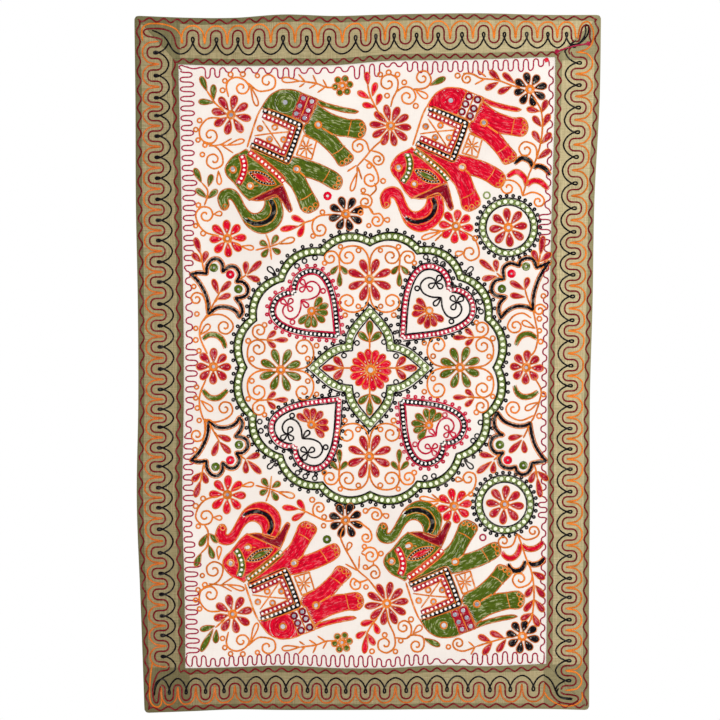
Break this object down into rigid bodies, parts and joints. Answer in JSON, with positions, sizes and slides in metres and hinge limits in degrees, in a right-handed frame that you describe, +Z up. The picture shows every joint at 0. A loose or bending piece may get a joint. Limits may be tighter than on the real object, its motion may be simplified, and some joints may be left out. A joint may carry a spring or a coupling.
{
  "type": "embroidered wall hanging",
  "caption": "Rectangular cotton wall hanging: cream embroidered ground, mitred olive border strips with turned hems, and small sewn-on round mirrors.",
  "frame": {"origin": "middle of the hanging's top edge, on the middle of the cloth's thickness", "axes": "+Z up, +X across to the viewer's right, -Y the embroidered face"},
  "size_m": [1.0026, 0.0143, 1.503],
  "materials": {
    "cream_cotton": "plain woven cotton, matt",
    "olive_cotton": "plain woven cotton, matt, darker where the hem doubles it",
    "mirror_glass": "small round silvered mirrors",
    "orange_thread": "chain-stitched cotton thread, soft sheen",
    "maroon_thread": "chain-stitched cotton thread, soft sheen",
    "red_thread": "chain-stitched cotton thread, soft sheen",
    "green_thread": "chain-stitched cotton thread, soft sheen",
    "pale_thread": "chain-stitched cotton thread, soft sheen",
    "black_thread": "chain-stitched cotton thread, soft sheen",
    "rust_thread": "chain-stitched cotton thread, soft sheen",
    "white_thread": "chain-stitched cotton thread, soft sheen"
  },
  "bodies": {
    "root": {"border_bottom": "olive_cotton", "border_left": "olive_cotton", "border_right": "olive_cotton", "border_top": "olive_cotton", "ground_cloth": "cream_cotton", "mirror_bottom_black": "mirror_glass", "mirror_bottom_dots": "mirror_glass", "mirror_bottom_large": "mirror_glass", "mirror_bottom_left_maroon": "mirror_glass", "mirror_bottom_left_red": "mirror_glass", "mirror_bottom_right_black": "mirror_glass", "mirror_bottom_right_red": "mirror_glass", "mirror_bottom_right_wheel": "mirror_glass", "mirror_elephant_bottom_left_back": "mirror_glass", "mirror_elephant_bottom_left_cheek": "mirror_glass", "mirror_elephant_bottom_left_fore_leg": "mirror_glass", "mirror_elephant_bottom_left_head": "mirror_glass", "mirror_elephant_bottom_left_hind_leg": "mirror_glass", "mirror_elephant_bottom_right_back": "mirror_glass", "mirror_elephant_bottom_right_cheek": "mirror_glass", "mirror_elephant_bottom_right_fore_leg": "mirror_glass", "mirror_elephant_bottom_right_head": "mirror_glass", "mirror_elephant_bottom_right_hind_leg": "mirror_glass", "mirror_elephant_top_left_back": "mirror_glass", "mirror_elephant_top_left_cheek": "mirror_glass", "mirror_elephant_top_left_fore_leg": "mirror_glass", "mirror_elephant_top_left_head": "mirror_glass", "mirror_elephant_top_left_hind_leg": "mirror_glass", "mirror_elephant_top_right_back": "mirror_glass", "mirror_elephant_top_right_cheek": "mirror_glass", "mirror_elephant_top_right_fore_leg": "mirror_glass", "mirror_elephant_top_right_head": "mirror_glass", "mirror_elephant_top_right_hind_leg": "mirror_glass", "mirror_fan_bottom_left": "mirror_glass", "mirror_fan_bottom_right": "mirror_glass", "mirror_fan_top_left": "mirror_glass", "mirror_fan_top_right": "mirror_glass", "mirror_left_maroon": "mirror_glass", "mirror_medallion_bottom": "mirror_glass", "mirror_medallion_left": "mirror_glass", "mirror_medallion_middle": "mirror_glass", "mirror_medallion_right": "mirror_glass", "mirror_medallion_top": "mirror_glass", "mirror_right_maroon": "mirror_glass", "mirror_top_black": "mirror_glass", "mirror_top_dots": "mirror_glass", "mirror_top_large": "mirror_glass", "mirror_top_left_maroon": "mirror_glass", "mirror_top_left_red": "mirror_glass", "mirror_top_right_black": "mirror_glass", "mirror_top_right_red": "mirror_glass", "mirror_top_right_wheel": "mirror_glass"}
  },
  "joints": []
}
